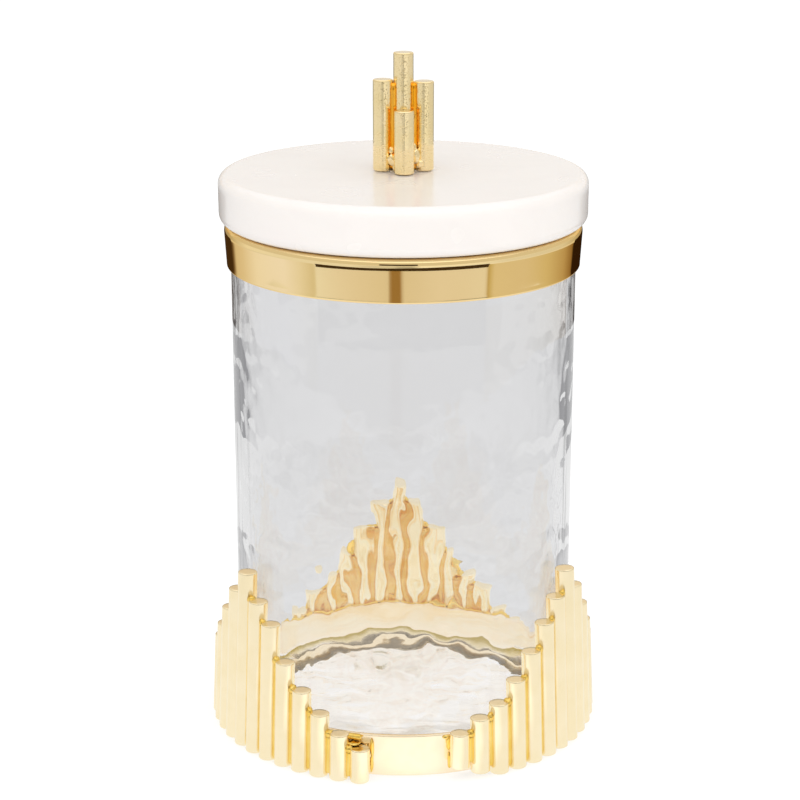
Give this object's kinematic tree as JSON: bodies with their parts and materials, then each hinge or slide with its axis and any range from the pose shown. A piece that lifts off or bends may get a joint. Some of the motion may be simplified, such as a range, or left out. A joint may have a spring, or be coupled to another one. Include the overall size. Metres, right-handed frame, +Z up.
{
  "type": "powder jar",
  "caption": "Tall glass vanity jar with a lift-off marble lid, a metal collar, a skirt of stepped upright rods round its foot and a rod-cluster knob.",
  "frame": {"origin": "on the jar's vertical axis, at the surface the jar stands on", "axes": "+Z up along the jar's axis; -Y faces the viewer, through the middle of one of the three bare gaps between the rod groups; +X to the viewer's right"},
  "size_m": [0.1238, 0.1219, 0.2122],
  "materials": {
    "jar_glass": "clear glass, smooth outside and rippled inside",
    "collar_gold": "polished pale gold plate",
    "base_gold": "satin pale gold plate",
    "rod_gold": "satin pale gold plate, faint draw lines along the bar",
    "finial_gold": "satin pale gold plate, slightly speckled",
    "lid_marble": "white marble, honed to a soft gloss",
    "gasket_silicone": "translucent milky silicone",
    "fastener_steel": "plain zinc-bright steel"
  },
  "bodies": {
    "jar": {"glass_jar": "jar_glass", "collar": "collar_gold", "base_band": "base_gold", "base_rod_left_01": "rod_gold", "base_rod_left_02": "rod_gold", "base_rod_left_03": "rod_gold", "base_rod_left_04": "rod_gold", "base_rod_left_05": "rod_gold", "base_rod_left_06": "rod_gold", "base_rod_left_07": "rod_gold", "base_rod_left_08": "rod_gold", "base_rod_left_09": "rod_gold", "base_rod_left_10": "rod_gold", "base_rod_left_11": "rod_gold", "base_rod_left_12": "rod_gold", "base_rod_left_13": "rod_gold", "base_rod_left_14": "rod_gold", "base_rod_left_15": "rod_gold", "base_rod_right_01": "rod_gold", "base_rod_right_02": "rod_gold", "base_rod_right_03": "rod_gold", "base_rod_right_04": "rod_gold", "base_rod_right_05": "rod_gold", "base_rod_right_06": "rod_gold", "base_rod_right_07": "rod_gold", "base_rod_right_08": "rod_gold", "base_rod_right_09": "rod_gold", "base_rod_right_10": "rod_gold", "base_rod_right_11": "rod_gold", "base_rod_right_12": "rod_gold", "base_rod_right_13": "rod_gold", "base_rod_right_14": "rod_gold", "base_rod_right_15": "rod_gold", "base_rod_back_01": "rod_gold", "base_rod_back_02": "rod_gold", "base_rod_back_03": "rod_gold", "base_rod_back_04": "rod_gold", "base_rod_back_05": "rod_gold", "base_rod_back_06": "rod_gold", "base_rod_back_07": "rod_gold", "base_rod_back_08": "rod_gold", "base_rod_back_09": "rod_gold", "base_rod_back_10": "rod_gold", "base_rod_back_11": "rod_gold", "base_rod_back_12": "rod_gold", "base_rod_back_13": "rod_gold", "base_rod_back_14": "rod_gold", "base_rod_back_15": "rod_gold"},
    "lid": {"lid_marble": "lid_marble", "lid_gasket": "gasket_silicone", "lid_stud": "fastener_steel", "lid_washer": "fastener_steel", "lid_nut": "fastener_steel", "finial_rod_center": "finial_gold", "finial_rod_left": "finial_gold", "finial_rod_right": "finial_gold", "finial_rod_front": "finial_gold", "finial_rod_back": "finial_gold"}
  },
  "joints": [
    {"name": "lid_lift", "type": "slide", "parent": "jar", "child": "lid", "axis": [0, 0, 1], "range_m": [0, 0.08]}
  ]
}
